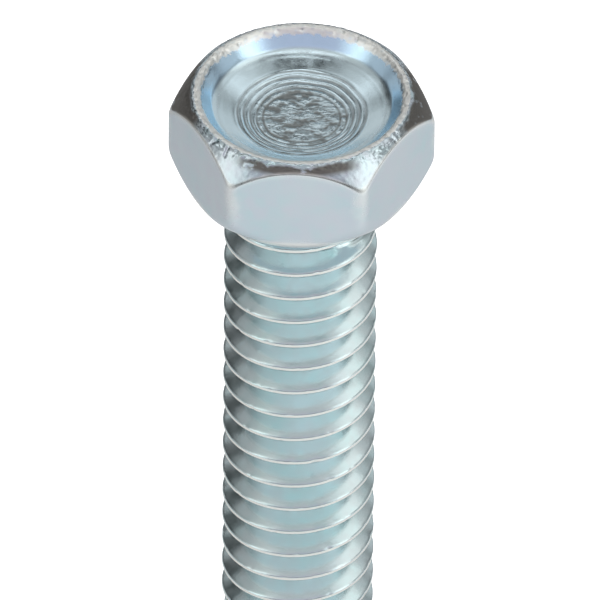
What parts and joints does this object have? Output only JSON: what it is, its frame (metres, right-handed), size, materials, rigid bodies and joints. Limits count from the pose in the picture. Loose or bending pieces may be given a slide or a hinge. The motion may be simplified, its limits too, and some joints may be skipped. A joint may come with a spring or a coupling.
{
  "type": "hex bolt",
  "caption": "Hex head machine bolt with a shallow round recess in the head, threaded to the head, in blue-white zinc plated steel.",
  "frame": {"origin": "on the bolt's axis at the head's bearing face, where the clamped part starts", "axes": "+Z runs along the axis from the point to the head, -Z is the direction in which the bolt goes in, and -Y faces one flat of the hexagon, so that two corners lie on X"},
  "size_m": [0.011, 0.0096, 0.03],
  "materials": {
    "zinc_steel": "bright zinc plating with a clear blue passivate, satin on the threads and the rough forged bevel"
  },
  "bodies": {
    "root": {"hex_head": "zinc_steel", "threaded_shank": "zinc_steel", "lead_point": "zinc_steel"}
  },
  "joints": []
}
